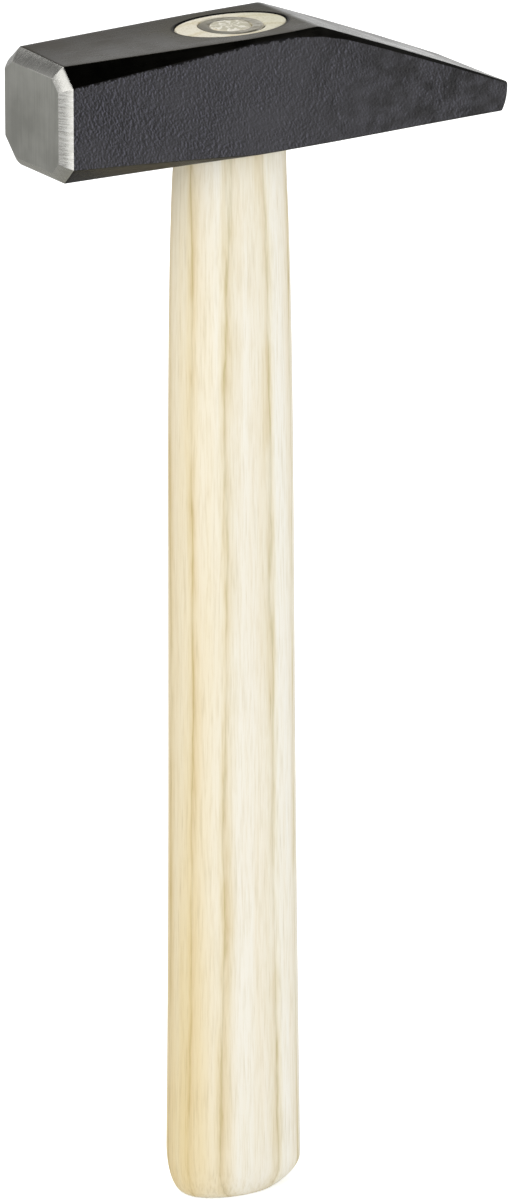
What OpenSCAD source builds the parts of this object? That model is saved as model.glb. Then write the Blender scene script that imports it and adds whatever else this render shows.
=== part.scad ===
// Scythe peening hammer: a forged cross peen head on an ash handle, held by a steel ring wedge.
// The origin is the middle of the handle's flat butt end. The handle runs up +Z to the head,
// the striking face looks along -X and the peen points along +X.

/* [Overall] */
// Length from the butt end to the top of the head
overall_len = 285; // [260:1:320]

/* [Head] */
// Length of the head from striking face to peen edge
head_len = 120.5; // [112:0.5:130]
// Width across the two cheeks
head_w = 28; // [26:0.5:32]
// Height of the head over the eye
head_h = 27.3; // [25:0.1:30]
// Distance from the striking face to the middle of the eye
face_to_eye = 53.5; // [50:0.5:54]
// Distance from the striking face to the ridge where the peen starts to fall
face_to_ridge = 69.5; // [68:0.5:74]
// Radius that softens the ridge
ridge_r = 5; // [2:1:20]

/* [Peen] */
// Height of the peen's blunt nose
peen_h = 6.8; // [5:0.1:10]
// Width of the peen, spread a little by forging
peen_w = 29.4; // [28:0.1:31]
// Distance past the ridge at which the cheeks begin to spread
spread_start = 6; // [2:1:15]
// Rise of the sloping top over a straight line
slope_crown = 0.35; // [0.1:0.05:1]
// Set-back of the nose at the underside
nose_setback = 1.6; // [0.5:0.1:2.5]
// Curve of the nose, where a higher value keeps its upper part straighter
nose_curve = 2.8; // [1.5:0.1:4]

/* [Striking face] */
// Set-back of the ground bevel round the striking face
face_bevel = 2.6; // [1:0.1:4]
// Leg of the four corner chamfers at the striking face
corner_leg = 4.3; // [2:0.1:5]
// Leg of the two upper chamfers where their taper ends
upper_leg = 1.2; // [0.8:0.1:2]
// Distance from the face over which the upper chamfers taper
upper_taper = 50; // [30:1:60]
// Distance from the face at which the lower chamfers run out
lower_taper = 56; // [40:1:60]
// Leg of the edge chamfers at the peen's nose
nose_leg = 0.4; // [0.2:0.1:0.8]

/* [Eye and tenon] */
// Length of the eye's upper mouth along the head
eye_len = 28.5; // [26:0.5:30]
// Width of the eye's upper mouth
eye_w = 18.4; // [17:0.2:20]
// Size of the eye's waist as a share of its upper mouth
waist_share = 0.93; // [0.88:0.01:0.98]
// Size of the eye's lower mouth as a share of its upper mouth
lower_share = 0.985; // [0.95:0.005:1]
// Height of the waist above the underside of the head
waist_h = 11; // [8:0.5:16]
// Width of the broken edge round both mouths
mouth_break = 0.5; // [0.2:0.1:1]

/* [Ring wedge] */
// Outer diameter of the ring wedge at its top
ring_od = 15.2; // [14:0.1:16]
// Bore of the ring wedge
ring_id = 9.8; // [8:0.1:10.5]
// Height of the ring wedge
ring_h = 14; // [10:0.5:18]
// Thickness of the ring wedge's leading edge
ring_edge = 0.5; // [0.3:0.1:1]
// Height of the straight land above the ring wedge's taper
ring_land = 1; // [0.5:0.1:2]
// Depth of the ring wedge below the end grain
ring_sink = 0.1; // [0.1:0.1:1]

/* [Grip] */
// Length of the grip's section along the head, in its middle stretch
mid_len = 31.2; // [28:0.1:34]
// Width of the grip's section in its middle stretch
mid_w = 21.1; // [18:0.1:24]
// Length of the section along the head at the butt
butt_len = 33.9; // [30:0.1:38]
// Width of the section at the butt
butt_w = 22.8; // [19:0.1:26]
// Squareness of the grip's oval, where 2 is a plain ellipse
grip_square = 2.35; // [2:0.05:3]
// Distance under the head in which the neck swells
neck_run = 38; // [20:1:60]
// Length of the flare that ends at the butt
flare_run = 165; // [80:5:180]

/* [Butt end] */
// Height of the rounding at the butt
round_h = 8.5; // [3:0.5:12]
// Set-in of the rounding along the section's length
round_len = 6.5; // [2:0.5:8]
// Set-in of the rounding across the section's width
round_w = 3.2; // [1.5:0.1:6]

/* [Hidden] */
$fn = 96;

black_lacquer = "#2b2a2d";
ash_wood = "#efe4c8";
bare_steel = "#a8a59a";

head_z = overall_len - head_h;      // underside of the head
face_x = -face_to_eye;              // plane of the striking face
ridge_x = face_x + face_to_ridge;   // ridge between flat top and slope
nose_x = face_x + head_len;         // foremost point of the peen
half_w = head_w / 2;
ring_top = overall_len - ring_sink; // upper face of the ring wedge
big = 400;                          // larger than any dimension of the head
over = 1;                           // run of a cut past the surface that it opens

sides = 48;                         // sides of the ovals of eye, tenon and grip
round_rings = 6;                    // rings in the butt's rounding
grip_rings = 22;                    // rings along the grip

// A length eased so that steps crowd towards its end
function crowd(t) = 1 - pow(1 - t, 1.6);

// Points of an arc round c with radius r between two angles
function arc(c, r, a0, a1, steps) =
    [for (i = [0:steps]) c + r * [cos(a0 + (a1 - a0) * i / steps), sin(a0 + (a1 - a0) * i / steps)]];

// A ring of points round the oval section s at height z
function signed_pow(v, e) = sign(v) * pow(abs(v), e);
function ring(s, z) = [for (i = [0:sides - 1]) let (a = 360 * i / sides)
    [s[0] * signed_pow(cos(a), 2 / s[2]), s[1] * signed_pow(sin(a), 2 / s[2]), z]];

// The eye's oval, a plain ellipse given as a share of the upper mouth, and any oval drawn wider
function eye_oval(share) = [share * eye_len / 2, share * eye_w / 2, 2];
function widened(s, by) = [s[0] + by, s[1] + by, s[2]];

// Joins a stack of rings into one closed solid
module loft(rings) {
    n = len(rings[0]);
    last = len(rings) - 1;
    polyhedron(
        points = [for (r = rings) each r],
        faces = concat(
            [[for (i = [0:n - 1]) i]],
            [for (k = [0:last - 1], i = [0:n - 1]) let (j = (i + 1) % n)
                [k * n + i, (k + 1) * n + i, (k + 1) * n + j, k * n + j]],
            [[for (i = [n - 1:-1:0]) last * n + i]]
        ),
        convexity = 4
    );
}

// Removes everything beyond the plane through p whose outward normal is n
module shave(p, n) {
    tilt = acos(n[2] / norm(n));
    translate(p)
        rotate(a = tilt, v = [-n[1], n[0], 0])
            translate([-big / 2, -big / 2, 0])
                cube([big, big, big]);
}

// Side view of the head: flat underside, blunt curved nose, crowned slope, soft ridge, flat top
module side_outline() {
    slope_run = nose_x - ridge_x;
    slope_drop = head_h - peen_h;
    fall = atan(slope_drop / slope_run);
    start = ridge_r * tan(fall / 2);
    nose = [for (t = [0, 0.1, 0.2, 0.32, 0.46, 0.65, 1])
        [nose_x - nose_setback * pow(1 - t, nose_curve), t * peen_h]];
    slope = [for (i = [1:7]) let (t = i / 8)
        [ridge_x + t * slope_run, head_h - t * slope_drop + 4 * slope_crown * t * (1 - t)]];
    polygon(concat(
        [[face_x, 0]],
        nose,
        [for (i = [6:-1:0]) slope[i]],
        arc([ridge_x - start, head_h - ridge_r], ridge_r, 90 - fall, 90, 5),
        [[face_x, head_h]]
    ));
}

// Plan view of the head: parallel cheeks that spread a little along the peen
module plan_outline() {
    spread_x = ridge_x + spread_start;
    polygon([
        [face_x, -half_w], [spread_x, -half_w], [nose_x, -peen_w / 2],
        [nose_x, peen_w / 2], [spread_x, half_w], [face_x, half_w]
    ]);
}

// The two upper chamfers, wide at the face and narrow from the eye on
module upper_chamfers() {
    taper = (corner_leg - upper_leg) / upper_taper;
    fall = (head_h - peen_h) / (nose_x - ridge_x);
    spread = (peen_w / 2 - half_w) / (nose_x - ridge_x);
    thin = (upper_leg - nose_leg) / (nose_x - ridge_x);
    for (side = [-1, 1]) {
        shave([face_x, side * (half_w - corner_leg), head_h], [-taper, side, 1]);
        shave([ridge_x, side * (half_w - upper_leg), head_h], [0, side, 1]);
        shave([ridge_x, side * (half_w - upper_leg), head_h], [fall - spread - thin, side, 1]);
    }
}

// The two lower chamfers, which run out under the eye
module lower_chamfers() {
    taper = corner_leg / lower_taper;
    for (side = [-1, 1])
        shave([face_x, side * (half_w - corner_leg), 0], [-taper, side, -1]);
}

// The eight ground bevels round the striking face
module face_bevels() {
    corner_y = half_w - corner_leg / 2;
    corner_z = head_h / 2 - corner_leg / 2;
    for (turn = [0:45:315]) {
        diagonal = (turn / 45) % 2;
        edge_y = diagonal == 1 ? corner_y : half_w;
        edge_z = diagonal == 1 ? corner_z : head_h / 2;
        shave(
            [face_x + face_bevel, edge_y * sign(round(cos(turn) * 2)),
                head_h / 2 + edge_z * sign(round(sin(turn) * 2))],
            [-1, cos(turn), sin(turn)]
        );
    }
}

// The eye narrows to a waist, and both of its mouths have a broken edge
module eye() {
    flare_r = over + mouth_break;
    loft([
        ring(widened(eye_oval(lower_share), flare_r), -over),
        ring(eye_oval(lower_share), mouth_break),
        ring(eye_oval(waist_share), waist_h),
        ring(eye_oval(1), head_h - mouth_break),
        ring(widened(eye_oval(1), flare_r), head_h + over)
    ]);
}

module head() {
    color(black_lacquer)
        translate([0, 0, head_z])
            difference() {
                intersection() {
                    rotate([90, 0, 0])
                        linear_extrude(height = big, center = true)
                            side_outline();
                    linear_extrude(height = big, center = true)
                        plan_outline();
                }
                upper_chamfers();
                lower_chamfers();
                face_bevels();
                eye();
            }
}

// Half sizes and squareness of the grip's oval at a distance under the head
function swell(d) = 1 - exp(-d / neck_run);
function flare(d) = pow(max(0, (d - head_z + flare_run) / flare_run), 2);
function grip_size(d, neck, mid, butt) = neck + (mid - neck) * swell(d) + (butt - mid) * flare(d);
function grip_section(z) = let (d = head_z - z) [
    grip_size(d, lower_share * eye_len / 2, mid_len / 2, butt_len / 2),
    grip_size(d, lower_share * eye_w / 2, mid_w / 2, butt_w / 2),
    2 + (grip_square - 2) * swell(d)
];

// The same oval drawn in by the butt's rounding
function rounded(s, t) = [s[0] - round_len * (1 - cos(90 * t)), s[1] - round_w * (1 - cos(90 * t)), s[2]];

handle_rings = concat(
    [for (i = [0:round_rings - 1]) let (t = 1 - i / round_rings, z = round_h * (1 - sin(90 * t)))
        ring(rounded(grip_section(z), t), z)],
    [for (i = [0:grip_rings]) let (z = round_h + (head_z - round_h) * crowd(i / grip_rings))
        ring(grip_section(z), z)],
    [
        ring(eye_oval(waist_share), head_z + waist_h),
        ring(eye_oval(1), overall_len - mouth_break), ring(eye_oval(1), overall_len)
    ]
);

// Half of the ring wedge's section up to a given height: straight bore, tapered outside
module wedge_outline(top) {
    edge_z = ring_top - ring_h;
    polygon([
        [ring_id / 2, edge_z], [ring_id / 2 + ring_edge, edge_z],
        [ring_od / 2, ring_top - ring_land], [ring_od / 2, top], [ring_id / 2, top]
    ]);
}

module handle() {
    color(ash_wood)
        difference() {
            loft(handle_rings);
            rotate_extrude()
                wedge_outline(overall_len + over);
        }
}

module ring_wedge() {
    color(bare_steel)
        rotate_extrude()
            wedge_outline(ring_top);
}

head();
handle();
ring_wedge();
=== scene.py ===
# Looks of a scythe peening hammer: forged head in black lacquer, sanded ash handle, turned steel ring wedge.
# Lengths are millimetres in the part's own frame, and turn into metres where a mesh is made.

import math

import bpy
from mathutils import Matrix, Vector, noise


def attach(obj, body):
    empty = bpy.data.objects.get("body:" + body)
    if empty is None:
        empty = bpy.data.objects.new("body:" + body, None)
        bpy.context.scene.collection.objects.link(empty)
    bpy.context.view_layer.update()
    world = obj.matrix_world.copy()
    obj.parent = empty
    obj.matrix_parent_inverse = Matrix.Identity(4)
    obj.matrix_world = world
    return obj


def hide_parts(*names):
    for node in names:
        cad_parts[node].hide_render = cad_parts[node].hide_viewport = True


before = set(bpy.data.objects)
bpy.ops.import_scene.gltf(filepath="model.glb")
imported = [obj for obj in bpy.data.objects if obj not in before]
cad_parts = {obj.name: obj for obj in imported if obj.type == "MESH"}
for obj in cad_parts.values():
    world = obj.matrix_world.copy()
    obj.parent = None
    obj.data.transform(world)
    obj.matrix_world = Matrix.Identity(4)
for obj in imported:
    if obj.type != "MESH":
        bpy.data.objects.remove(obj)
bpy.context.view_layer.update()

MM = 0.001


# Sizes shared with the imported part

OVERALL = 285.0
HEAD_HEIGHT, HALF_WIDTH = 27.3, 14.0
HEAD_Z = OVERALL - HEAD_HEIGHT
# The striking face lies at FACE_X, and the other stations of the head are distances from it
FACE_X, RIDGE, SPREAD_START, NOSE = -53.5, 69.5, 75.5, 120.5
RIDGE_RADIUS, SLOPE_CROWN = 5.0, 0.35
PEEN_HEIGHT, PEEN_HALF_WIDTH = 6.8, 14.7
NOSE_SETBACK, NOSE_CURVE = 1.6, 2.8
# Set-back of the bevels round the face, legs of the chamfers along the head and where they taper out
BEVEL, CORNER_LEG, UPPER_LEG = 2.6, 4.3, 1.2
UPPER_TAPER, LOWER_TAPER = 50.0, 56.0
EYE_HALF_LENGTH, EYE_HALF_WIDTH = 14.25, 9.2
WAIST_SHARE, LOWER_SHARE, WAIST_Z, MOUTH_BREAK = 0.93, 0.985, 11.0, 0.5
# Radii, height and leading edge of the ring wedge
RING_OUTER, RING_BORE, RING_HEIGHT, RING_EDGE = 7.6, 4.9, 14.0, 0.5
# How fast the grip swells under the head, and how far up the flare of the butt reaches
NECK_RUN, FLARE_RUN = 38.0, 165.0
# Half length and half width of the grip's oval, whose squareness is 2 for a plain ellipse
MID_HALF, BUTT_HALF, GRIP_SQUARE = (15.6, 10.55), (16.95, 11.4), 2.35


# Unevenness that hand work leaves

# Legs of the chamfers, across the head and down it
FAR_UPPER_FACE, FAR_UPPER_BODY, FAR_LOWER_CORNER = (5.1, 3.6), (3.5, 3.0), (5.7, 5.7)
NEAR_EYE_LEGS, NEAR_RIDGE_LEGS, NEAR_NOSE_LEGS = (0.7, 1.25), (1.3, 1.4), (0.5, 0.4)
# Leg of the far upper chamfer at the nose
NOSE_LEG = 0.3
# The near chamfer dips where the wheel crossed the ridge
RIDGE_NOTCH, NOTCH_RUN = 0.8, 5.0
# What is left of an edge where its chamfer has run out, and the least leg of a drawn-in section
SOFT_EDGE, LEAST_LEG = 0.35, 0.05
# Share by which the bevels reach further back at the far upper corner
FAR_CORNER_REACH = 0.42
# Sag of the underside under the ridge
BELLY, BELLY_RUN = 0.38, 28.0
# How far the handle's middle line stands off the axis at the butt, and how far it has moved at the head
LEAN_AT_BUTT, LEAN_CHANGE, LEAN_CURVE = 0.42, 0.8, 1.3
# Rounding of the butt under the face and under the peen: height, then set-in along the head
BUTT_ROUND_HEIGHT, BUTT_ROUND_LENGTH, BUTT_ROUND_WIDTH = (11.9, 5.9), (3.6, 13.3), 3.2
# Depth of the end grain under the head's top, and its further fall towards the ring wedge
TENON_SINK, FALL_TO_RING = 0.12, 0.12
# Folds that the ring's bore presses into the core, and their height
CORE_FOLDS, FOLD_HEIGHT = 7, 0.06
# The ring wedge is driven deeper on one side, by this much and in this direction
ASKEW, ASKEW_WAY = 0.23, (-0.75, 0.66)


def mix(a, b, share):
    """The value that lies the given share of the way from a to b."""
    return a + (b - a) * share


def ease(edge_a, edge_b, value):
    """A smooth step from 0 at edge_a to 1 at edge_b."""
    t = min(1.0, max(0.0, (value - edge_a) / (edge_b - edge_a)))
    return t * t * (3 - 2 * t)


def uneven(point, per_mm):
    """A smooth wave from -1 to 1, with about the given number of swells to a millimetre along each axis."""
    return noise.noise(Vector([place * count for place, count in zip(point, per_mm)]))


def mesh_piece(name, points, faces, materials, face_material=None, crease=32):
    """A mesh object from points in millimetres, smooth but for edges sharper than crease degrees."""
    mesh = bpy.data.meshes.new(name)
    mesh.from_pydata([Vector(p) * MM for p in points], [], faces)
    mesh.validate()
    for material in materials:
        mesh.materials.append(material)
    if face_material:
        for polygon in mesh.polygons:
            polygon.material_index = face_material(polygon)
    mesh.polygons.foreach_set("use_smooth", [True] * len(mesh.polygons))
    if crease:
        mesh.set_sharp_from_angle(angle=math.radians(crease))
    mesh.update()
    piece = bpy.data.objects.new(name, mesh)
    bpy.context.scene.collection.objects.link(piece)
    return piece


def skin(rings):
    """Points and faces of a closed surface over a stack of rings with equal counts."""
    count = len(rings[0])
    last = (len(rings) - 1) * count
    points = [p for ring in rings for p in ring]
    faces = [
        (k * count + i, k * count + (i + 1) % count, (k + 1) * count + (i + 1) % count, (k + 1) * count + i)
        for k in range(len(rings) - 1)
        for i in range(count)
    ]
    faces.append(tuple(range(count - 1, -1, -1)))
    faces.append(tuple(last + i for i in range(count)))
    return points, faces


# Materials, with patterns in millimetres and only the distances of bumps in metres

def linear(hex_colour):
    """An sRGB hex colour as the linear values that a shader takes."""
    parts = [int(hex_colour[i:i + 2], 16) / 255 for i in (1, 3, 5)]
    return tuple(c / 12.92 if c <= 0.04045 else ((c + 0.055) / 1.055) ** 2.4 for c in parts) + (1.0,)


def live(sockets, key):
    """The socket with this name or place, out of those that the node's settings switch on."""
    used = [socket for socket in sockets if socket.enabled]
    return used[key] if isinstance(key, int) else next(socket for socket in used if socket.name == key)


def feed(node, inputs):
    """Gives a node's inputs their values, or links them from sockets or from other nodes' first outputs."""
    for key, value in inputs.items():
        target = live(node.inputs, key)
        if isinstance(value, bpy.types.Node):
            value = live(value.outputs, 0)
        if isinstance(value, bpy.types.NodeSocket):
            node.id_data.links.new(value, target)
        else:
            target.default_value = value


def add(tree, kind, inputs=None, stops=None, **settings):
    """Adds a shader node with its settings, its ramp stops and its inputs."""
    node = tree.nodes.new("ShaderNode" + kind)
    for key, value in settings.items():
        setattr(node, key, value)
    if stops:
        elements = node.color_ramp.elements
        while len(elements) < len(stops):
            elements.new(1.0)
        for element, (position, colour) in zip(elements, stops):
            element.position = position
            element.color = linear(colour)
    feed(node, inputs or {})
    return node


def cells(*sizes):
    """A pattern's scale along x, y and z for cells of the given sizes in millimetres."""
    return tuple(1 / size for size in sizes)


def new_finish(name):
    """A material, its node tree, its surface shader and the place on the part in millimetres."""
    material = bpy.data.materials.new(name)
    material.use_nodes = True
    tree = material.node_tree
    metres = add(tree, "TexCoord").outputs["Object"]
    place = add(tree, "VectorMath", {0: metres, "Scale": 1 / MM}, operation="SCALE")
    return material, tree, tree.nodes["Principled BSDF"], place


def from_axis(tree, place):
    """Distance of each point from the handle's axis."""
    across = add(tree, "VectorMath", {0: place, 1: (1.0, 1.0, 0.0)}, operation="MULTIPLY")
    return add(tree, "VectorMath", {0: across}, operation="LENGTH")


def from_eye(tree, place):
    """Distance of each point from the handle's axis, as a share of the distance of the eye's mouth."""
    shares = (1 / EYE_HALF_LENGTH, 1 / EYE_HALF_WIDTH, 0.0)
    oval = add(tree, "VectorMath", {0: place, 1: shares}, operation="MULTIPLY")
    return add(tree, "VectorMath", {0: oval}, operation="LENGTH")


def forged_lacquer():
    """Black nitro lacquer on the forged skin: upright wrinkles, coarse near the face, violet grey sheen."""
    material, tree, shader, place = new_finish("black_lacquer_over_forged_steel")
    spot = add(tree, "SeparateXYZ", {0: place}).outputs
    x, z = spot["X"], spot["Z"]
    # Real wrinkles are about 0.2 mm wide and 0.8 mm tall, drawn 0.24 by 0.77 mm so that they show
    peel_place = add(tree, "Mapping", {
        "Vector": place, "Rotation": (0.0, math.radians(-7), 0.0), "Scale": cells(0.238, 0.238, 0.77)})
    wrinkle = {"Scale": 1.0, "Detail": 2.0, "Roughness": 0.55, "Distortion": 0.5}
    peel = add(tree, "TexNoise", {"Vector": peel_place, **wrinkle})
    # Each wrinkle has a painted highlight on one flank and, 0.5 mm or 2.1 cells further on, painted shade on
    # the other
    lee_place = add(tree, "Mapping", {"Vector": peel_place, "Location": (2.1, 0.0, 0.0)})
    lee = add(tree, "TexNoise", {"Vector": lee_place, **wrinkle})
    painted_flank_light_and_relief = add(tree, "Math", {0: peel, 1: lee}, operation="SUBTRACT")
    gentle = add(tree, "Math", {0: painted_flank_light_and_relief, 1: 0.7}, operation="MULTIPLY")
    # The die pressed the skin coarser towards the face, and unevenly in patches of 9 mm
    coarse = add(tree, "MapRange", {
        "Value": x, "From Min": -50.0, "From Max": 0.0, "To Min": 1.45, "To Max": 0.8})
    swell = add(tree, "TexNoise", {"Vector": place, "Scale": 1 / 9.1, "Detail": 3.0})
    patchy = add(tree, "MapRange", {
        "Value": swell, "From Min": 0.35, "From Max": 0.65, "To Min": 0.6, "To Max": 1.25})
    depth = add(tree, "Math", {0: coarse, 1: patchy}, operation="MULTIPLY")
    height = add(tree, "Math", {0: gentle, 1: depth, 2: 0.5}, operation="MULTIPLY_ADD")
    # The ramp paints the wrinkles' highlights and shade from their height, which also raises the bumps
    tone = add(tree, "ValToRGB", {0: height}, stops=[
        (0.36, "#08080b"), (0.46, "#131318"), (0.54, "#23232b"), (0.61, "#393942"), (0.68, "#525260")])
    # Towards the peen the lacquer dulls in soft clouds
    fade = add(tree, "MapRange", {
        "Value": x, "From Min": 5.0, "From Max": 36.0, "To Min": 0.1, "To Max": 0.95})
    cloud = add(tree, "TexNoise", {"Vector": place, "Scale": 1 / 3.33, "Detail": 3.0, "Roughness": 0.6})
    cloudy = add(tree, "MapRange", {"Value": cloud, "From Min": 0.38, "From Max": 0.62})
    dull = add(tree, "Math", {0: cloudy, 1: fade}, operation="MULTIPLY")
    toned = add(tree, "Mix", {"Factor": dull, "A": tone, "B": linear("#070707")}, data_type="RGBA")
    # The edge of the ground chamfer eats a ragged border out of the wrinkles
    edge = add(tree, "MapRange", {
        "Value": x, "From Min": FACE_X, "From Max": FACE_X + UPPER_TAPER,
        "To Min": OVERALL - CORNER_LEG, "To Max": OVERALL - NEAR_EYE_LEGS[1]})
    below = add(tree, "Math", {0: edge, 1: z}, operation="SUBTRACT")
    nibble_place = add(tree, "Mapping", {"Vector": place, "Scale": cells(0.91, 0.91, 2.0)})
    nibble = add(tree, "TexNoise", {"Vector": nibble_place, "Scale": 1.0, "Detail": 3.0, "Roughness": 0.6})
    ragged = add(tree, "Math", {0: nibble, 1: -2.4, 2: below}, operation="MULTIPLY_ADD")
    forged = add(tree, "MapRange", {"Value": ragged, "From Min": -1.02, "From Max": -0.9})
    colour = add(tree, "Mix", {"Factor": forged, "A": linear("#040404"), "B": toned}, data_type="RGBA")
    lit = add(tree, "MapRange", {
        "Value": height, "From Min": 0.35, "From Max": 0.65, "To Min": 0.36, "To Max": 0.78})
    level = add(tree, "Math", {0: dull, 1: -0.19, 2: lit}, operation="MULTIPLY_ADD")
    gloss = add(tree, "Mix", {"Factor": forged, "A": 0.12, "B": level}, data_type="FLOAT")
    shine = add(tree, "MapRange", {
        "Value": height, "From Min": 0.35, "From Max": 0.65, "To Min": 0.34, "To Max": 0.48})
    fine = add(tree, "Bump", {"Height": height, "Strength": 1.0, "Distance": 0.0006})
    broad = add(tree, "Bump", {"Height": swell, "Strength": 0.25, "Distance": 0.0012, "Normal": fine})
    feed(shader, {
        "Base Color": colour, "Roughness": shine, "Normal": broad, "IOR": 1.5,
        "Specular IOR Level": gloss, "Specular Tint": (0.98, 0.96, 1.0, 1.0)})
    return material


def ground_lacquer():
    """The same lacquer on faces that were ground before dipping: nearly flat, with a soft warm gloss."""
    material, tree, shader, place = new_finish("black_lacquer_over_ground_steel")
    spot = add(tree, "SeparateXYZ", {0: place}).outputs
    x, y = spot["X"], spot["Y"]
    facing = add(tree, "NewGeometry").outputs["True Normal"]
    way = add(tree, "SeparateXYZ", {0: facing}).outputs
    facing_y, facing_z = way["Y"], way["Z"]
    # Grinding lines run along the head, about 0.1 mm apart, drawn 0.46 mm so that they show
    lines_place = add(tree, "Mapping", {"Vector": place, "Scale": cells(20.0, 0.455, 0.455)})
    lines = add(tree, "TexNoise", {"Vector": lines_place, "Scale": 1.0, "Detail": 3.0, "Roughness": 0.6})
    cloud = add(tree, "TexNoise", {"Vector": place, "Scale": 1 / 11.1, "Detail": 4.0, "Roughness": 0.6})
    tone = add(tree, "ValToRGB", {0: cloud}, stops=[(0.3, "#010101"), (0.55, "#030302"), (0.75, "#070604")])
    blend = add(tree, "Math", {0: lines, 1: 0.4, 2: cloud}, operation="MULTIPLY_ADD")
    shine = add(tree, "MapRange", {
        "Value": blend, "From Min": 0.5, "From Max": 0.9, "To Min": 0.18, "To Max": 0.34})
    # Round the eye's mouth the lacquer stands thick and painted shade darkens the band; handling dulls it
    # around there
    out = from_eye(tree, place)
    rim = add(tree, "MapRange", {
        "Value": out, "From Min": 1.03, "From Max": 1.07, "To Min": 0.25, "To Max": 1.0})
    handled = add(tree, "MapRange", {
        "Value": out, "From Min": 1.05, "From Max": 1.7, "To Min": 0.5, "To Max": 1.0})
    # Faces that look up are tinted brown in clouds, more olive round the eye
    level = add(tree, "MapRange", {"Value": facing_z, "From Min": 0.9, "From Max": 0.99})
    upward_off_rim = add(tree, "Math", {0: level, 1: rim}, operation="MULTIPLY")
    upward_tint_share = add(tree, "Math", {0: upward_off_rim, 1: cloud}, operation="MULTIPLY")
    upward_tint = add(tree, "Mix", {
        "Factor": handled, "A": linear("#5a543a"), "B": linear("#3a3324")}, data_type="RGBA")
    upward_tinted = add(tree, "Mix", {"Factor": upward_tint_share, "A": tone, "B": upward_tint}, data_type="RGBA")
    # The gloss is dulled on the level faces, near the striking face, round the eye, and on the chamfers
    # of the near cheek, where the wheel left them rougher
    bright = add(tree, "MapRange", {"Value": level, "To Min": 0.5, "To Max": 0.3})
    soiled = add(tree, "MapRange", {
        "Value": x, "From Min": FACE_X + 2.5, "From Max": FACE_X + 12.0, "To Min": 0.6, "To Max": 1.0})
    beside = add(tree, "MapRange", {
        "Value": facing_y, "From Min": -0.72, "From Max": -0.35, "To Min": 0.55, "To Max": 1.0})
    gloss = bright
    for share in (soiled, beside, rim, handled):
        gloss = add(tree, "Math", {0: gloss, 1: share}, operation="MULTIPLY")
    # The faces are ground a very little hollow
    bowl = add(tree, "Math", {0: y, 1: y}, operation="MULTIPLY")
    hollow = add(tree, "Bump", {"Height": bowl, "Strength": 1.0, "Distance": 0.0000022})
    relief = add(tree, "Bump", {"Height": lines, "Strength": 0.15, "Distance": 0.0001, "Normal": hollow})
    feed(shader, {
        "Base Color": upward_tinted, "Roughness": shine, "Normal": relief, "IOR": 1.5,
        "Specular IOR Level": gloss, "Specular Tint": (1.0, 0.955, 0.8, 1.0)})
    return material


def ground_face():
    """Carbon steel ground bare on the striking face: faint upright lines that spread the reflection."""
    material, tree, shader, place = new_finish("ground_carbon_steel_face")
    # Grinding lines are about 0.05 mm apart, drawn 0.3 mm so that they show
    lines_place = add(tree, "Mapping", {"Vector": place, "Scale": cells(0.333, 0.303, 14.3)})
    lines = add(tree, "TexNoise", {"Vector": lines_place, "Scale": 1.0, "Detail": 3.0, "Roughness": 0.6})
    cloud = add(tree, "TexNoise", {"Vector": place, "Scale": 1 / 8.33, "Detail": 3.0})
    blend = add(tree, "Math", {0: lines, 1: 0.6, 2: cloud}, operation="MULTIPLY_ADD")
    tone = add(tree, "ValToRGB", {0: blend}, stops=[(0.6, "#b9b9b1"), (0.8, "#c6c6be"), (1.0, "#d2d2ca")])
    shine = add(tree, "MapRange", {
        "Value": lines, "From Min": 0.3, "From Max": 0.7, "To Min": 0.32, "To Max": 0.42})
    relief = add(tree, "Bump", {"Height": lines, "Strength": 0.3, "Distance": 0.00004})
    feed(shader, {"Base Color": tone, "Roughness": shine, "Normal": relief, "Metallic": 1.0})
    return material


def ground_bevel():
    """Carbon steel ground bare on the eight bevels: short ticks across each in a bright satin."""
    material, tree, shader, place = new_finish("ground_carbon_steel_bevels")
    facing = add(tree, "NewGeometry").outputs["True Normal"]
    facing_z = add(tree, "SeparateXYZ", {0: facing}).outputs["Z"]
    # The ticks are about 0.1 mm apart, drawn 0.4 mm so that they show, and follow how a bevel faces
    ticks = []
    for scale in (cells(3.33, 3.33, 0.417), cells(3.33, 0.417, 3.33)):
        ticks_place = add(tree, "Mapping", {"Vector": place, "Scale": scale})
        ticks.append(add(tree, "TexNoise", {
            "Vector": ticks_place, "Scale": 1.0, "Detail": 3.0, "Roughness": 0.65}))
    level = add(tree, "Math", {0: facing_z}, operation="ABSOLUTE")
    mixed = add(tree, "Mix", {"Factor": level, "A": ticks[0], "B": ticks[1]}, data_type="FLOAT")
    # The bevels above and below the face are ground finer than the upright ones
    fine = add(tree, "MapRange", {"Value": level, "From Max": 0.7, "To Min": 1.0, "To Max": 0.45})
    centred = add(tree, "Math", {0: mixed, 1: 0.5}, operation="SUBTRACT")
    lines = add(tree, "Math", {0: centred, 1: fine, 2: 0.5}, operation="MULTIPLY_ADD")
    bright = add(tree, "ValToRGB", {0: lines}, stops=[
        (0.32, "#c0bfb9"), (0.5, "#d0cfca"), (0.68, "#e2e1dd")])
    # Bevels that look down get a painted yellower reflection of what lies below, and those that look up a
    # greyer one
    slant = add(tree, "MapRange", {"Value": facing_z, "From Min": -1.0})
    shade = add(tree, "ValToRGB", {0: slant}, stops=[
        (0.15, "#e1e0d2"), (0.4, "#ffffff"), (0.5, "#ffffff"), (0.85, "#f3f3f2")])
    tone = add(tree, "Mix", {"Factor": 1.0, "A": bright, "B": shade}, data_type="RGBA", blend_type="MULTIPLY")
    shine = add(tree, "MapRange", {
        "Value": lines, "From Min": 0.3, "From Max": 0.7, "To Min": 0.18, "To Max": 0.34})
    relief = add(tree, "Bump", {"Height": lines, "Strength": 0.6, "Distance": 0.0001})
    feed(shader, {"Base Color": tone, "Roughness": shine, "Normal": relief, "Metallic": 1.0})
    return material


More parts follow.
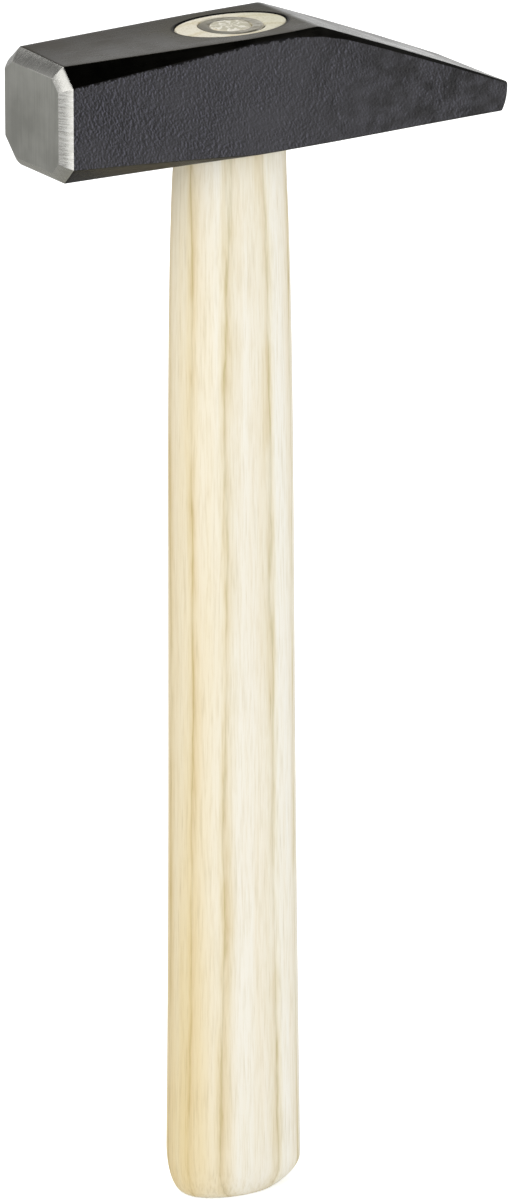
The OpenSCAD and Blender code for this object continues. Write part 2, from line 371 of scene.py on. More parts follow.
def growth_years(tree, place):
    """Where each point lies in its growth ring, from 0 to 1."""
    spacing, wander = 7.0, 1.2
    # The pith lay just off the handle's near side, and this start puts a ring at 13.89 mm from it, on the
    # handle's strongest line
    start, start_at_ends = wander / 2 + 6.89, wander / 2 + 7.59
    pith = add(tree, "VectorMath", {0: place, 1: (-2.5, -22.4, 0.0)}, operation="SUBTRACT")
    radius = from_axis(tree, pith)
    drift_place = add(tree, "Mapping", {"Vector": place, "Scale": cells(20.0, 20.0, 71.4)})
    drift = add(tree, "TexNoise", {"Vector": drift_place, "Scale": 1.0, "Detail": 3.0, "Roughness": 0.5})
    swept = add(tree, "Math", {0: drift, 1: wander, 2: radius}, operation="MULTIPLY_ADD")
    # The spring vessels at a line stand unevenly, which frays it
    fray_place = add(tree, "Mapping", {"Vector": place, "Scale": cells(2.0, 2.0, 28.6)})
    fray = add(tree, "TexNoise", {"Vector": fray_place, "Scale": 1.0, "Detail": 4.0, "Roughness": 0.65})
    centred = add(tree, "Math", {0: fray, 1: 0.5}, operation="SUBTRACT")
    frayed = add(tree, "Math", {0: centred, 1: 2.2, 2: swept}, operation="MULTIPLY_ADD")
    # The grain runs out a little towards both ends of the handle
    z = add(tree, "SeparateXYZ", {0: place}).outputs["Z"]
    middle = add(tree, "Math", {0: z, 1: 137.0}, operation="SUBTRACT")
    from_middle = add(tree, "Math", {0: middle}, operation="ABSOLUTE")
    first = add(tree, "MapRange", {
        "Value": from_middle, "From Min": 75.0, "From Max": 125.0, "To Min": start, "To Max": start_at_ends})
    grown = add(tree, "Math", {0: frayed, 1: first}, operation="SUBTRACT")
    years = add(tree, "Math", {0: grown, 1: spacing}, operation="DIVIDE")
    return add(tree, "Math", {0: years}, operation="FRACT")


def sanded_ash():
    """European ash, sanded fine and left bare: pale cream, wide growth rings, short open pores."""
    material, tree, shader, place = new_finish("sanded_ash")
    rings = add(tree, "ValToRGB", {0: growth_years(tree, place)}, stops=[
        (0.0, "#c9bc92"), (0.03, "#dfd3b2"), (0.1, "#eee7d2"), (0.22, "#f4f1e7"), (0.5, "#f4f1e7"),
        (0.74, "#f1ebdc"), (0.9, "#e9e0c8"), (0.97, "#ddd0b0"), (1.0, "#c9bc92")])
    # A growth line is stronger here and fainter there along the handle
    fade_place = add(tree, "Mapping", {"Vector": place, "Scale": cells(11.1, 11.1, 40.0)})
    fade = add(tree, "TexNoise", {"Vector": fade_place, "Scale": 1.0, "Detail": 3.0, "Roughness": 0.6})
    faint = add(tree, "MapRange", {
        "Value": fade, "From Min": 0.38, "From Max": 0.62, "To Min": 0.65, "To Max": 0.0})
    growth = add(tree, "Mix", {"Factor": faint, "A": rings, "B": linear("#f3efe2")}, data_type="RGBA")
    # Pores are 0.2 mm wide and a few millimetres long, drawn 0.5 mm wide so that they show
    pores_place = add(tree, "Mapping", {"Vector": place, "Scale": cells(0.526, 0.526, 10.0)})
    pores = add(tree, "TexNoise", {"Vector": pores_place, "Scale": 1.0, "Detail": 4.0, "Roughness": 0.6})
    streak = add(tree, "ValToRGB", {0: pores}, stops=[(0.3, "#ddd6c2"), (0.42, "#f3efe4"), (0.55, "#ffffff")])
    wood = add(tree, "Mix", {
        "Factor": 0.45, "A": growth, "B": streak}, data_type="RGBA", blend_type="MULTIPLY")
    # Heartwood tints the side under the face, more towards the butt, in bands along the grain
    bands_place = add(tree, "Mapping", {"Vector": place, "Scale": cells(3.33, 3.33, 100.0)})
    bands = add(tree, "TexNoise", {"Vector": bands_place, "Scale": 1.0, "Detail": 2.0})
    spot = add(tree, "SeparateXYZ", {0: place}).outputs
    x, z = spot["X"], spot["Z"]
    heart = add(tree, "MapRange", {
        "Value": x, "From Min": -15.0, "From Max": -5.0, "To Min": 0.66, "To Max": 0.0})
    lower = add(tree, "MapRange", {
        "Value": z, "From Min": 20.0, "From Max": 230.0, "To Min": 1.15, "To Max": 0.6})
    tint = add(tree, "Math", {0: heart, 1: lower}, operation="MULTIPLY")
    banded = add(tree, "Math", {0: bands, 1: 0.55, 2: tint}, operation="MULTIPLY_ADD")
    tinted = add(tree, "Math", {0: banded, 1: 0.22}, operation="SUBTRACT", use_clamp=True)
    warm = add(tree, "Mix", {
        "Factor": tinted, "A": wood, "B": linear("#f2e0b2")}, data_type="RGBA", blend_type="MULTIPLY")
    relief = add(tree, "Bump", {"Height": pores, "Strength": 0.25, "Distance": 0.00006})
    feed(shader, {"Base Color": warm, "Normal": relief, "IOR": 1.45, "Roughness": 0.62})
    return material


def end_grain():
    """Ash sawn across the grain: growth rings, scattered pores and a dull, slightly fuzzy surface."""
    material, tree, shader, place = new_finish("sawn_ash_end_grain")
    x, y, z = add(tree, "SeparateXYZ", {0: place}).outputs
    growth = add(tree, "ValToRGB", {0: growth_years(tree, place)}, stops=[
        (0.0, "#e0d7bc"), (0.06, "#ebe4cf"), (0.2, "#f1ecdc"), (0.8, "#efe9d8"), (0.94, "#e8e0c9"),
        (1.0, "#e0d7bc")])
    # Pores are 0.2 mm wide, drawn 0.5 mm so that they show
    pores = add(tree, "TexNoise", {"Vector": place, "Scale": 1 / 0.5, "Detail": 3.0, "Roughness": 0.6})
    dots = add(tree, "ValToRGB", {0: pores}, stops=[(0.33, "#d0c8b0"), (0.45, "#f6f3ea"), (0.7, "#ffffff")])
    sawn = add(tree, "Mix", {"Factor": 0.6, "A": growth, "B": dots}, data_type="RGBA", blend_type="MULTIPLY")
    # The wood on the peen's side has gone a little grey
    grey = add(tree, "MapRange", {"Value": x, "From Min": 0.0, "From Max": 8.0, "To Max": 0.75})
    wood = add(tree, "Mix", {
        "Factor": grey, "A": sawn, "B": linear("#ecefe8")}, data_type="RGBA", blend_type="MULTIPLY")
    # The ring's bore squeezed the core into pale folds that run out like a star
    angle = add(tree, "Math", {0: y, 1: x}, operation="ARCTAN2")
    radius = from_axis(tree, place)
    knots = add(tree, "TexNoise", {"Vector": place, "Scale": 1 / 2.0, "Detail": 3.0})
    bend = add(tree, "Math", {0: knots, 1: 2.6, 2: angle}, operation="MULTIPLY_ADD")
    turned = add(tree, "Math", {0: bend, 1: float(CORE_FOLDS)}, operation="MULTIPLY")
    star = add(tree, "Math", {0: turned}, operation="SINE")
    folds = add(tree, "ValToRGB", {0: star}, stops=[(0.0, "#c2bda8"), (0.45, "#d4d0bd"), (0.9, "#ece8db")])
    inside = add(tree, "MapRange", {"Value": radius, "From Min": RING_BORE, "From Max": RING_BORE - 0.4})
    cored = add(tree, "Mix", {"Factor": inside, "A": wood, "B": folds}, data_type="RGBA")
    # Lacquer crept into the rim of the tenon, and painted shade of the joint with the eye darkens it further
    seam = add(tree, "MapRange", {"Value": from_eye(tree, place), "From Min": 0.97, "From Max": 0.995})
    atop = add(tree, "MapRange", {"Value": z, "From Min": HEAD_Z, "From Max": OVERALL - 2.0})
    crept_lacquer_and_shade = add(tree, "Math", {0: seam, 1: atop}, operation="MULTIPLY")
    rimmed = add(tree, "Mix", {"Factor": crept_lacquer_and_shade, "A": cored, "B": linear("#554c3c")}, data_type="RGBA")
    # Where the ring wedge stands proud, the wood beside it is darkened as painted shadow in the gap between
    # them
    aim = add(tree, "VectorMath", {0: place, 1: (0.21, -0.98, 0.0)}, operation="DOT_PRODUCT")
    proud = add(tree, "MapRange", {"Value": aim, "From Min": 5.0, "From Max": 6.5})
    close = add(tree, "MapRange", {
        "Value": radius, "From Min": RING_OUTER + 0.55, "From Max": RING_OUTER + 0.3})
    gap = add(tree, "Math", {0: proud, 1: close}, operation="MULTIPLY")
    gap_shadowed = add(tree, "Mix", {"Factor": gap, "A": rimmed, "B": linear("#352e22")}, data_type="RGBA")
    relief = add(tree, "Bump", {"Height": pores, "Strength": 0.5, "Distance": 0.00012})
    feed(shader, {"Base Color": gap_shadowed, "Normal": relief, "IOR": 1.45, "Roughness": 0.8})
    return material


def turned_steel():
    """Free-cutting steel turned on a lathe: fine rings round the bore, a dull grey with a warm cast."""
    material, tree, shader, place = new_finish("turned_steel")
    x = add(tree, "SeparateXYZ", {0: place}).outputs["X"]
    # Tool marks are about 0.1 mm apart, drawn 0.45 mm so that they show
    turn = add(tree, "Math", {0: from_axis(tree, place), 1: math.tau / 0.45}, operation="MULTIPLY")
    marks = add(tree, "Math", {0: turn}, operation="SINE")
    dents = add(tree, "TexNoise", {"Vector": place, "Scale": 1 / 1.43, "Detail": 3.0})
    height = add(tree, "Math", {0: marks, 1: 0.2, 2: dents}, operation="MULTIPLY_ADD")
    tone = add(tree, "ValToRGB", {0: dents}, stops=[(0.3, "#b0a991"), (0.5, "#ddd7c4"), (0.7, "#f5f2e6")])
    # Wood dust and lacquer are smeared over the side that went in deeper
    deeper = add(tree, "MapRange", {
        "Value": x, "From Min": -8.0, "From Max": -1.0, "To Min": 1.5, "To Max": 0.0})
    smear = add(tree, "Math", {0: deeper, 1: dents}, operation="MULTIPLY")
    soiled = add(tree, "Mix", {"Factor": smear, "A": tone, "B": linear("#49432f")}, data_type="RGBA")
    relief = add(tree, "Bump", {"Height": height, "Strength": 0.5, "Distance": 0.00012})
    feed(shader, {"Base Color": soiled, "Normal": relief, "Metallic": 1.0, "Roughness": 0.4})
    return material


# Forged head

def top_height(t):
    """Height of the head's top at distance t from the striking face: flat, soft ridge, crowned slope."""
    run = NOSE - RIDGE
    share = (t - RIDGE) / run
    slope = HEAD_HEIGHT - share * (HEAD_HEIGHT - PEEN_HEIGHT) + 4 * SLOPE_CROWN * share * (1 - share)
    fall = math.atan((HEAD_HEIGHT - PEEN_HEIGHT) / run)
    start = RIDGE_RADIUS * math.tan(fall / 2)
    if t < RIDGE - start:
        return HEAD_HEIGHT
    if t < RIDGE - start + RIDGE_RADIUS * math.sin(fall):
        return HEAD_HEIGHT - RIDGE_RADIUS + math.sqrt(RIDGE_RADIUS ** 2 - (t - RIDGE + start) ** 2)
    return slope


def cheek_distance(t):
    """Half width of the head, which spreads a little along the peen."""
    return HALF_WIDTH + max(0.0, t - SPREAD_START) / (NOSE - SPREAD_START) * (PEEN_HALF_WIDTH - HALF_WIDTH)


def near_upper_legs(t):
    """Legs of the near upper chamfer: wide at the face, narrow beside the eye, wider again at the ridge."""
    if t < UPPER_TAPER:
        return tuple(mix(CORNER_LEG, leg, t / UPPER_TAPER) for leg in NEAR_EYE_LEGS)
    if t < RIDGE:
        start, end, share = NEAR_EYE_LEGS, NEAR_RIDGE_LEGS, ease(UPPER_TAPER + 10, RIDGE, t)
    else:
        start, end, share = NEAR_RIDGE_LEGS, NEAR_NOSE_LEGS, (t - RIDGE) / (NOSE - RIDGE)
    notch = RIDGE_NOTCH * math.exp(-((t - RIDGE) / NOTCH_RUN) ** 2)
    return mix(start[0], end[0], share), mix(start[1], end[1], share) + notch


def far_upper_legs(t):
    """Legs of the far upper chamfer, which the grinder cut deeper at the corner of the face."""
    if t > UPPER_TAPER:
        leg = mix(UPPER_LEG, NOSE_LEG, max(0.0, t - RIDGE) / (NOSE - RIDGE))
        return leg, leg
    corner = max(0.0, 1 - t / BEVEL)
    share = max(0.0, t - BEVEL) / (UPPER_TAPER - BEVEL)
    return tuple(mix(mix(FAR_UPPER_BODY[k], UPPER_LEG, share), FAR_UPPER_FACE[k], corner) for k in (0, 1))


def lower_legs(t, start):
    """Legs of a lower chamfer, which runs out under the eye into a softened edge."""
    share = max(0.0, 1 - t / LOWER_TAPER)
    return max(SOFT_EDGE, start[0] * share), max(SOFT_EDGE, start[1] * share)


def clipped(legs, inset):
    """The legs of a chamfer after the section has been drawn in by inset."""
    turn = math.atan2(legs[1], legs[0])
    return (max(LEAST_LEG, legs[0] - inset + inset * math.tan(turn / 2)),
            max(LEAST_LEG, legs[1] - inset + inset * math.tan((math.pi / 2 - turn) / 2)))


def octagon(t, inset=0.0):
    """Corners of the head's section in y and z at distance t from the face, counted from the underside."""
    half, base, top = cheek_distance(t) - inset, inset, top_height(t) - inset
    near_down = clipped(lower_legs(t, (CORNER_LEG, CORNER_LEG)), inset)
    far_down = clipped(lower_legs(t, FAR_LOWER_CORNER), inset)
    near_up, far_up = clipped(near_upper_legs(t), inset), clipped(far_upper_legs(t), inset)
    return [
        (-(half - near_down[0]), base), (half - far_down[0], base),
        (half, base + far_down[1]), (half, top - far_up[1]),
        (half - far_up[0], top), (-(half - near_up[0]), top),
        (-half, top - near_up[1]), (-half, base + near_down[1]),
    ]


# Steps along the section's eight sides, from the underside round, and in each rounded corner
SIDE_STEPS = (14, 3, 14, 4, 14, 4, 14, 3)
ARC_STEPS = 4
# The largest share of a side that one corner's rounding may take
ROUND_SHARE = 0.42


def soft_section(corners, radius):
    """The section with its corners rounded and its sides divided, always into the same count of points."""
    count = len(corners)
    rounds = []
    for i, place in enumerate(corners):
        corner = Vector(place)
        to_before, to_after = Vector(corners[i - 1]) - corner, Vector(corners[(i + 1) % count]) - corner
        reach = min(
            radius * math.tan(math.pi / 8), ROUND_SHARE * to_before.length, ROUND_SHARE * to_after.length)
        start = corner + to_before.normalized() * reach
        end = corner + to_after.normalized() * reach
        steps = [k / ARC_STEPS for k in range(ARC_STEPS + 1)]
        rounds.append([start * (1 - s) ** 2 + corner * 2 * s * (1 - s) + end * s * s for s in steps])
    section = []
    for i in range(count):
        section += rounds[i]
        a, b = rounds[i][-1], rounds[(i + 1) % count][0]
        section += [a + (b - a) * (k / SIDE_STEPS[i]) for k in range(1, SIDE_STEPS[i])]
    return section


def nose_x(z):
    """How far the nose reaches at height z: upright at its upper edge, then curving back to the underside."""
    return NOSE - NOSE_SETBACK * min(1.0, max(0.0, 1 - z / PEEN_HEIGHT)) ** NOSE_CURVE


def far_corner(y, z):
    """How near a point of the section is to the far upper corner, from 0 to 1."""
    return ease(-14.0, 12.0, y) * ease(14.0, 25.0, z)


def head_ring(t, inset=0.0, radius=0.6):
    """One ring of the head at distance t from the face, in part coordinates."""
    ring = []
    for p in soft_section(octagon(t, inset), radius):
        # The bevels reach further back towards the far upper corner
        further = FAR_CORNER_REACH * far_corner(p.x, p.y) * min(t, BEVEL) * (1 - ease(BEVEL, 10.0, t))
        ring.append((FACE_X + t + further, p.x, HEAD_Z + p.y))
    return ring


def nose_ring(share, inset=0.0):
    """A ring that leans over from the flat section 5 mm before the nose to the nose's own curve."""
    t = NOSE - 5.0
    top = top_height(t)
    middle = PEEN_HEIGHT / 2
    edge = 0.35
    ring = []
    for p in soft_section(octagon(t), 0.3):
        level = p.y / top
        reach = mix(t, nose_x(level * PEEN_HEIGHT), share)
        y = p.x * cheek_distance(reach) / cheek_distance(t) * (1 - inset / PEEN_HALF_WIDTH)
        z = middle + (level * top_height(reach) - middle) * (1 - inset / middle)
        if share == 1:
            # The outermost rings are set back, so that the nose's edge is rounded
            reach = nose_x(z) - edge * (1 - min(1.0, inset / edge))
        ring.append((FACE_X + reach, y, HEAD_Z + z))
    return ring


def forge_swell(point):
    """A point of the head moved by the slight unevenness that forging and grinding leave."""
    x, y, z = point
    # Broad and fine waves draw the cheeks in, away from the ground edges
    cheek = ease(11.0, 13.5, abs(y)) * ease(FACE_X + 4, FACE_X + 12, x)
    wave, ripple = uneven(point, (0.07, 0.05, 0.09)), uneven(point, (0.3, 0.2, 0.3))
    y -= math.copysign(cheek * (0.05 + 0.05 * wave + 0.012 * ripple), y)
    # The underside sags under the ridge, and the slope is dented
    slope = ease(RIDGE + FACE_X, RIDGE + FACE_X + 8, x) * ease(HEAD_Z + 5, HEAD_Z + 8, z)
    z -= BELLY * ease(HEAD_Z + 3, HEAD_Z + 0.4, z) * math.exp(-((x - FACE_X - RIDGE) / BELLY_RUN) ** 2)
    z -= slope * (0.02 + 0.05 * abs(uneven((x, y, 3.0), (0.12, 0.15, 1.0))))
    return x, y, z


def forged_head():
    """The head: an eight-sided section from the ground face to the blunt nose, with the oval eye in it."""
    # Rings of the ground bevel, which is slightly crowned: set-back, inset and radius of the corners
    rings = [head_ring(*row) for row in (
        (0.0, BEVEL + 0.12, 0.2), (0.03, BEVEL - 0.02, 0.2), (0.12, BEVEL - 0.16, 0.2),
        (0.5, 1.91, 0.25), (1.0, 1.31, 0.3), (1.5, 0.8, 0.3), (2.0, 0.38, 0.35),
        (BEVEL - 0.12, 0.06, 0.4), (BEVEL + 0.12, 0.0, 0.45),
    )]
    # Stations of the forged body, closer together over the ridge
    stations = [3.2, 4.4, 6.0]
    while stations[-1] < RIDGE - 6:
        stations.append(stations[-1] + 2.0)
    stations += [RIDGE - 3 + 0.4 * k for k in range(15)]
    while stations[-1] < NOSE - 8:
        stations.append(stations[-1] + 2.2)
    body = [head_ring(t, 0.0, mix(0.6, 0.3, ease(RIDGE - 4, RIDGE + 4, t))) for t in stations]
    body += [nose_ring(s) for s in (0.0, 0.3, 0.6, 0.85, 0.95)]
    body += [nose_ring(1, inset) for inset in (0.0, 0.1, 0.35, 1.2, 2.2, 3.1)]
    rings += [[forge_swell(p) for p in ring] for ring in body]
    points, faces = skin(rings)

    def finish_of(polygon):
        """Place in the list of materials: 0 forged lacquer, 1 ground lacquer, 2 bare face, 3 bare bevels."""
        centre, normal = polygon.center / MM, polygon.normal
        reach = (1 + FAR_CORNER_REACH * far_corner(centre.y, centre.z - HEAD_Z)) * BEVEL
        if centre.x < FACE_X + reach - 0.05:
            return 2 if normal.x < -0.93 else 3
        nose_end = centre.x > FACE_X + NOSE - 4 and normal.x > 0.7
        return 0 if abs(normal.y) > 0.9 or normal.z < -0.9 or nose_end else 1

    materials = [forged_lacquer(), ground_lacquer(), ground_face(), ground_bevel()]
    head = mesh_piece("forged_head", points, faces, materials, finish_of, crease=0)
    cutter = eye_cutter(materials[1])
    cut = head.modifiers.new("eye", "BOOLEAN")
    cut.operation = "DIFFERENCE"
    cut.solver = "EXACT"
    cut.object = cutter
    apply_modifiers(head)
    bpy.data.objects.remove(cutter)
    head.data.set_sharp_from_angle(angle=math.radians(24))
    return head


def apply_modifiers(piece):
    """Turns a piece's modifiers into its mesh, all smooth."""
    graph = bpy.context.evaluated_depsgraph_get()
    mesh = bpy.data.meshes.new_from_object(
        piece.evaluated_get(graph), preserve_all_data_layers=True, depsgraph=graph)
    piece.modifiers.clear()
    piece.data = mesh
    mesh.polygons.foreach_set("use_smooth", [True] * len(mesh.polygons))


def eye_ring(share, z, wider=0.0):
    """A ring of the eye's oval at height z over the underside of the head."""
    count = 96
    angles = [math.tau * i / count for i in range(count)]
    half_x, half_y = share * EYE_HALF_LENGTH + wider, share * EYE_HALF_WIDTH + wider
    return [(half_x * math.cos(angle), half_y * math.sin(angle), HEAD_Z + z) for angle in angles]


def eye_cutter(material):
    """The hollow of the eye: narrow at its waist, both mouths with a broken edge."""
    points, faces = skin([
        eye_ring(LOWER_SHARE, -1.0, MOUTH_BREAK + 1.0), eye_ring(LOWER_SHARE, 0.0, MOUTH_BREAK),
        eye_ring(LOWER_SHARE, MOUTH_BREAK), eye_ring(WAIST_SHARE, WAIST_Z),
        eye_ring(1.0, HEAD_HEIGHT - 0.3), eye_ring(1.0, HEAD_HEIGHT - 0.1, 0.08),
        eye_ring(1.0, HEAD_HEIGHT, 0.28), eye_ring(1.0, HEAD_HEIGHT + 1.0, 1.28),
    ])
    return mesh_piece("eye", points, faces, [material])


# Ash handle

GRIP_POINTS = 128


def grip_half(z):
    """Half length, half width and squareness of the handle's oval at height z under the head."""
    down = HEAD_Z - z
    swell = 1 - math.exp(-down / NECK_RUN)
    flare = max(0.0, (down - HEAD_Z + FLARE_RUN) / FLARE_RUN) ** 2
    neck = (LOWER_SHARE * EYE_HALF_LENGTH, LOWER_SHARE * EYE_HALF_WIDTH)
    half = [neck[k] + (MID_HALF[k] - neck[k]) * swell + (BUTT_HALF[k] - MID_HALF[k]) * flare for k in (0, 1)]
    return half[0], half[1], 2 + (GRIP_SQUARE - 2) * swell


def oval_point(i, square):
    """Point number i of an oval of half size 1 that is a little squarer than an ellipse."""
    cosine, sine = math.cos(math.tau * i / GRIP_POINTS), math.sin(math.tau * i / GRIP_POINTS)
    power = 2 / square
    return math.copysign(abs(cosine) ** power, cosine), math.copysign(abs(sine) ** power, sine)


def oval_ring(half_x, half_y, square, z, shift=0.0):
    """A ring of the handle at height z, moved along the head by shift."""
    points = [oval_point(i, square) for i in range(GRIP_POINTS)]
    return [(shift + half_x * x, half_y * y, z) for x, y in points]


def lean(z):
    """How far the handle's middle line stands off the axis along the head at height z."""
    return (LEAN_AT_BUTT - LEAN_CHANGE * (z / HEAD_Z) ** LEAN_CURVE) * (1 - ease(HEAD_Z - 8, HEAD_Z, z))


def butt_ring(angle, share=1.0):
    """A ring of the butt's rounding: steep and tall under the face, low and wide under the peen."""
    drawn = 1 - math.cos(angle)
    ring = []
    for i in range(GRIP_POINTS):
        peen_side = (1 + math.cos(math.tau * i / GRIP_POINTS)) / 2
        z = mix(*BUTT_ROUND_HEIGHT, peen_side) * (1 - math.sin(angle))
        half_x, half_y, square = grip_half(z)
        x, y = oval_point(i, square)
        x *= half_x - mix(*BUTT_ROUND_LENGTH, peen_side) * drawn
        y *= half_y - BUTT_ROUND_WIDTH * drawn
        ring.append((lean(z) + x * share, y * share, z))
    return ring


def core_fold(x, y):
    """Height of the folds that run out like a star over the squeezed core."""
    bend = 1.5 * uneven((x, y, 1.0), (0.6, 0.6, 1.0))
    return FOLD_HEIGHT * (math.hypot(x, y) / RING_BORE) * math.sin(CORE_FOLDS * math.atan2(y, x) + bend)


def ash_handle():
    """The handle: one turned and sanded piece from the rounded butt to the tenon that fills the eye."""
    rings = [butt_ring(math.pi / 2, share) for share in (0.1, 0.4, 0.7, 0.9)]
    rings += [butt_ring(math.pi / 2 * (1 - k / 18)) for k in range(19)]
    z = 12.5
    while z < HEAD_Z - 3:
        rings.append(oval_ring(*grip_half(z), z, lean(z)))
        z += 3.0
    rings.append(oval_ring(*grip_half(HEAD_Z), HEAD_Z))
    # The tenon in the eye, to its waist and halfway up from there
    clear = 0.02
    for share, level in ((WAIST_SHARE, WAIST_Z), (mix(WAIST_SHARE, 1, 0.5), mix(WAIST_Z, HEAD_HEIGHT, 0.5))):
        half_x, half_y = share * EYE_HALF_LENGTH - clear, share * EYE_HALF_WIDTH - clear
        rings.append(oval_ring(half_x, half_y, 2, HEAD_Z + level))
    # The end grain stands just below the steel and falls a little towards the ring wedge
    top = OVERALL - TENON_SINK
    for shrink, down in ((0.05, 1.6), (0.12, 0.6), (0.2, 0.2), (0.36, 0.04), (0.8, 0.0)):
        rings.append(oval_ring(EYE_HALF_LENGTH - shrink, EYE_HALF_WIDTH - shrink, 2, top - down))
    for share in (0.25, 0.5, 0.75, 0.92):
        half_x, half_y = (mix(half - 0.8, RING_OUTER, share) for half in (EYE_HALF_LENGTH, EYE_HALF_WIDTH))
        rings.append(oval_ring(half_x, half_y, 2, top - FALL_TO_RING * share ** 3))
    # The slot of the ring wedge, then the core that its bore squeezes up
    for radius, level in (
        (RING_OUTER + 0.12, -0.16), (RING_OUTER + 0.05, -0.4), (RING_OUTER, -1.3),
        (RING_BORE + RING_EDGE, -RING_HEIGHT), (RING_BORE, -RING_HEIGHT),
        (RING_BORE - 0.02, -1.0), (RING_BORE - 0.08, -0.4),
        (RING_BORE - 0.3, -0.12), (RING_BORE - 0.9, -0.02),
        (RING_BORE * 0.6, 0.03), (RING_BORE * 0.35, 0.05), (RING_BORE * 0.12, 0.02),
    ):
        ring = oval_ring(radius, radius, 2, top + level)
        if radius < RING_BORE - 0.2:
            ring = [(x, y, z + core_fold(x, y)) for x, y, z in ring]
        rings.append(ring)
    points, faces = skin(rings)

    def finish_of(polygon):
        """Place in the list of materials: 0 along the grain, 1 across it."""
        return 1 if abs(polygon.normal.z) > 0.7 or polygon.center.z > (top - 0.25) * MM else 0

    return mesh_piece("ash_handle", points, faces, [sanded_ash(), end_grain()], finish_of, crease=50)


# Ring wedge

def ring_wedge():
    """The wedge: a tapered steel ring with soft edges, driven in askew and proudest at the near right."""
    top = OVERALL
    edge = top - TENON_SINK - RING_HEIGHT
    profile = [
        (RING_BORE, edge), (RING_BORE + RING_EDGE, edge), (RING_OUTER - 0.02, top - 1.1),
        (RING_OUTER, top - 0.45), (RING_OUTER - 0.06, top - 0.2), (RING_OUTER - 0.2, top - 0.06),
        (RING_OUTER - 0.42, top), (RING_OUTER - 0.7, top - 0.02), (RING_OUTER - 1.2, top - 0.05),
        (RING_BORE + 0.9, top - 0.05), (RING_BORE + 0.4, top - 0.08), (RING_BORE + 0.12, top - 0.2),
        (RING_BORE, top - 0.45),
    ]
    count, size = 96, len(profile)
    points = []
    for i in range(count):
        cosine, sine = math.cos(math.tau * i / count), math.sin(math.tau * i / count)
        deeper = ASKEW * (1 + ASKEW_WAY[0] * cosine + ASKEW_WAY[1] * sine)
        for radius, z in profile:
            x, y = radius * cosine, radius * sine
            upper = ease(top - 1.2, top - 0.5, z)
            dent = 0.04 * abs(uneven((x, y, 7.0), (0.5, 0.5, 1.0)))
            points.append((x, y, z - upper * (deeper * radius / RING_OUTER + dent)))
    faces = []
    for i in range(count):
        column, after = i * size, (i + 1) % count * size
        for k in range(size):
            above = (k + 1) % size
            faces.append((column + k, after + k, after + above, column + above))
    return mesh_piece("steel_ring_wedge", points, faces, [turned_steel()], crease=40)


for piece, node, slot in (
    (forged_head(), "head", "lacquered_steel"),
    (ash_handle(), "handle", "ash_wood"),
    (ring_wedge(), "ring_wedge", "wedge_steel"),
):
    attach(piece, "root")
    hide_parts(node)


# Studio, in metres

WHITE = (1.0, 1.0, 1.0, 1.0)


def cleared(owner):
    """The node tree of a material or world, with nothing in it yet."""
    owner.use_nodes = True
    owner.node_tree.nodes.clear()
    return owner.node_tree


def sheet(name, corners, material):
    """A flat stage sheet between its corners."""
    mesh = bpy.data.meshes.new(name)
    mesh.from_pydata(corners, [], [tuple(range(len(corners)))])
    mesh.materials.append(material)
    piece = bpy.data.objects.new(name, mesh)
    bpy.context.scene.collection.objects.link(piece)
    return piece


def floor_paper():
    """White paper: it takes the hammer's shadow, and stays white in the picture and in reflections."""
    material = bpy.data.materials.new("white_paper")
    tree = cleared(material)
    rays = add(tree, "LightPath").outputs
    mirrored = add(tree, "Math", {0: rays["Is Glossy Ray"], 1: 0.35}, operation="MULTIPLY")
    glow = add(tree, "Math", {0: rays["Is Camera Ray"], 1: 0.55, 2: mirrored}, operation="MULTIPLY_ADD")
    matt = add(tree, "BsdfDiffuse", {"Color": linear("#f4f4f3")})
    light = add(tree, "Emission", {"Color": WHITE, "Strength": glow})
    both = add(tree, "AddShader", {0: matt, 1: light})
    add(tree, "OutputMaterial", {0: both})
    return material


def card_grey(name, strength):
    """An evenly lit grey card."""
    material = bpy.data.materials.new(name)
    tree = cleared(material)
    light = add(tree, "Emission", {"Color": WHITE, "Strength": strength})
    add(tree, "OutputMaterial", {0: light})
    return material


sheet("floor", [(-6, -6, 0), (6, -6, 0), (6, 6, 0), (-6, 6, 0)], floor_paper())

# Grey cards at the left and behind show only in reflections, and keep the bare steel from turning white
for name, grey, corners in (
    ("grey_card_back", 0.36, [
        (-0.62, 0.1, 0.0), (-0.62, 0.1, 0.32), (-0.02, 0.56, 0.32), (-0.02, 0.56, 0.0)]),
    ("grey_card_low", 0.42, [
        (0.35, -0.05, 0.001), (0.6, 0.9, 0.001), (-0.3, 1.2, 0.001), (-1.3, 1.2, 0.001),
        (-1.3, -0.5, 0.001), (-0.75, -0.48, 0.001), (-0.03, -0.05, 0.001)]),
    ("grey_card_far", 0.4, [
        (-0.3, 1.2, 0.0), (-0.3, 1.2, 0.36), (0.62, 1.2, 0.36), (0.62, 1.2, 0.0)]),
):
    card = sheet(name, corners, card_grey(name, grey))
    for ray in ("visible_camera", "visible_diffuse", "visible_shadow", "visible_transmission"):
        setattr(card, ray, False)


def softbox(name, centre, target, width, height, radiance):
    """A rectangular soft lamp of even brightness, given by how bright its surface looks."""
    lamp = bpy.data.lights.new(name, "AREA")
    lamp.shape = "RECTANGLE"
    lamp.size, lamp.size_y = width, height
    lamp.energy = radiance * math.pi * width * height
    piece = bpy.data.objects.new(name, lamp)
    piece.location = centre
    piece.rotation_euler = (Vector(target) - Vector(centre)).to_track_quat("-Z", "Y").to_euler()
    piece.visible_camera = False
    bpy.context.scene.collection.objects.link(piece)
    return piece


softbox("softbox_left", (-0.75, -0.3, 0.85), (0.0, 0.0, 0.2), 0.8, 0.8, 1.5)
softbox("softbox_front", (0.0, -2.4, 0.75), (0.0, 0.0, 0.2), 3.6, 1.2, 1.7)
softbox("softbox_above_back", (-0.3, 0.9, 1.9), (0.0, 0.0, 0.0), 1.6, 1.2, 1.5)

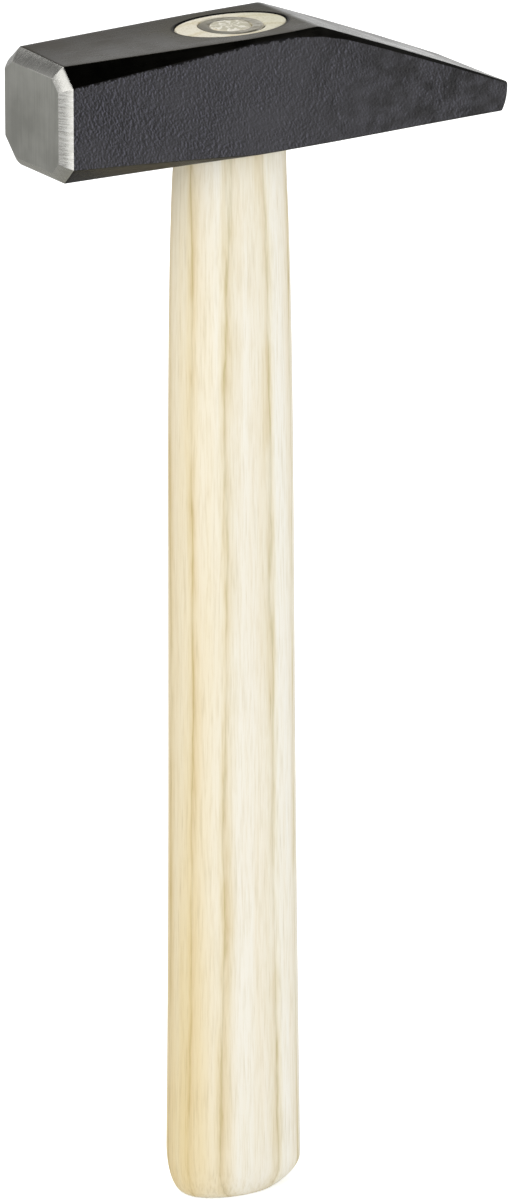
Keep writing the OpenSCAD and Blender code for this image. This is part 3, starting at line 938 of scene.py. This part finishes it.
# Weak fills lift the wood's edges and its back, and show in no reflection
for fill in (
    softbox("fill_back", (0.7, 1.5, 0.45), (0.0, 0.0, 0.14), 1.2, 0.9, 1.5),
    softbox("fill_left", (-1.4, 0.1, 0.35), (0.0, 0.0, 0.12), 1.0, 0.7, 1.0),
    softbox("fill_right", (1.6, -0.5, 0.35), (0.0, 0.0, 0.12), 1.0, 0.7, 1.5),
):
    fill.visible_glossy = False

# The room is white low down and dark above in the picture and in reflections, and lights the rest evenly
world = bpy.data.worlds.new("studio")
bpy.context.scene.world = world
room = cleared(world)
rays = add(room, "LightPath").outputs
seen = add(room, "Math", {0: rays["Is Camera Ray"], 1: rays["Is Glossy Ray"]}, operation="MAXIMUM")
height = add(room, "SeparateXYZ", {0: add(room, "TexCoord").outputs["Generated"]}).outputs["Z"]
walls = add(room, "MapRange", {
    "Value": height, "From Min": 0.05, "From Max": 0.62, "To Min": 1.0, "To Max": 0.0})
light = add(room, "Mix", {"Factor": seen, "A": 0.5, "B": walls}, data_type="FLOAT")
sky = add(room, "Background", {"Color": WHITE, "Strength": light})
add(room, "OutputWorld", {0: sky})


# Camera at the photograph's angle, 2 m away with a long lens

PHOTO_HEIGHT, FOCAL_PIXELS, FILM_HEIGHT = 1200, 9153.03, 36.0
CAMERA_PLACE = (-1097.25, -1689.53, 838.01)
CAMERA_RIGHT, CAMERA_UP = (0.837088, -0.547068, -0.000380), (0.177960, 0.271646, 0.945801)

camera = bpy.data.cameras.new("camera")
camera.sensor_fit = "VERTICAL"
camera.sensor_height = FILM_HEIGHT
camera.lens = FOCAL_PIXELS / PHOTO_HEIGHT * FILM_HEIGHT
camera.clip_end = 50.0
camera_piece = bpy.data.objects.new("camera", camera)
right, up = Vector(CAMERA_RIGHT), Vector(CAMERA_UP)
turn = Matrix((right, up, right.cross(up))).transposed()
camera_piece.matrix_world = Matrix.Translation(Vector(CAMERA_PLACE) * MM) @ turn.to_4x4()
bpy.context.scene.collection.objects.link(camera_piece)
bpy.context.scene.camera = camera_piece
bpy.context.scene.view_settings.view_transform = "Standard"
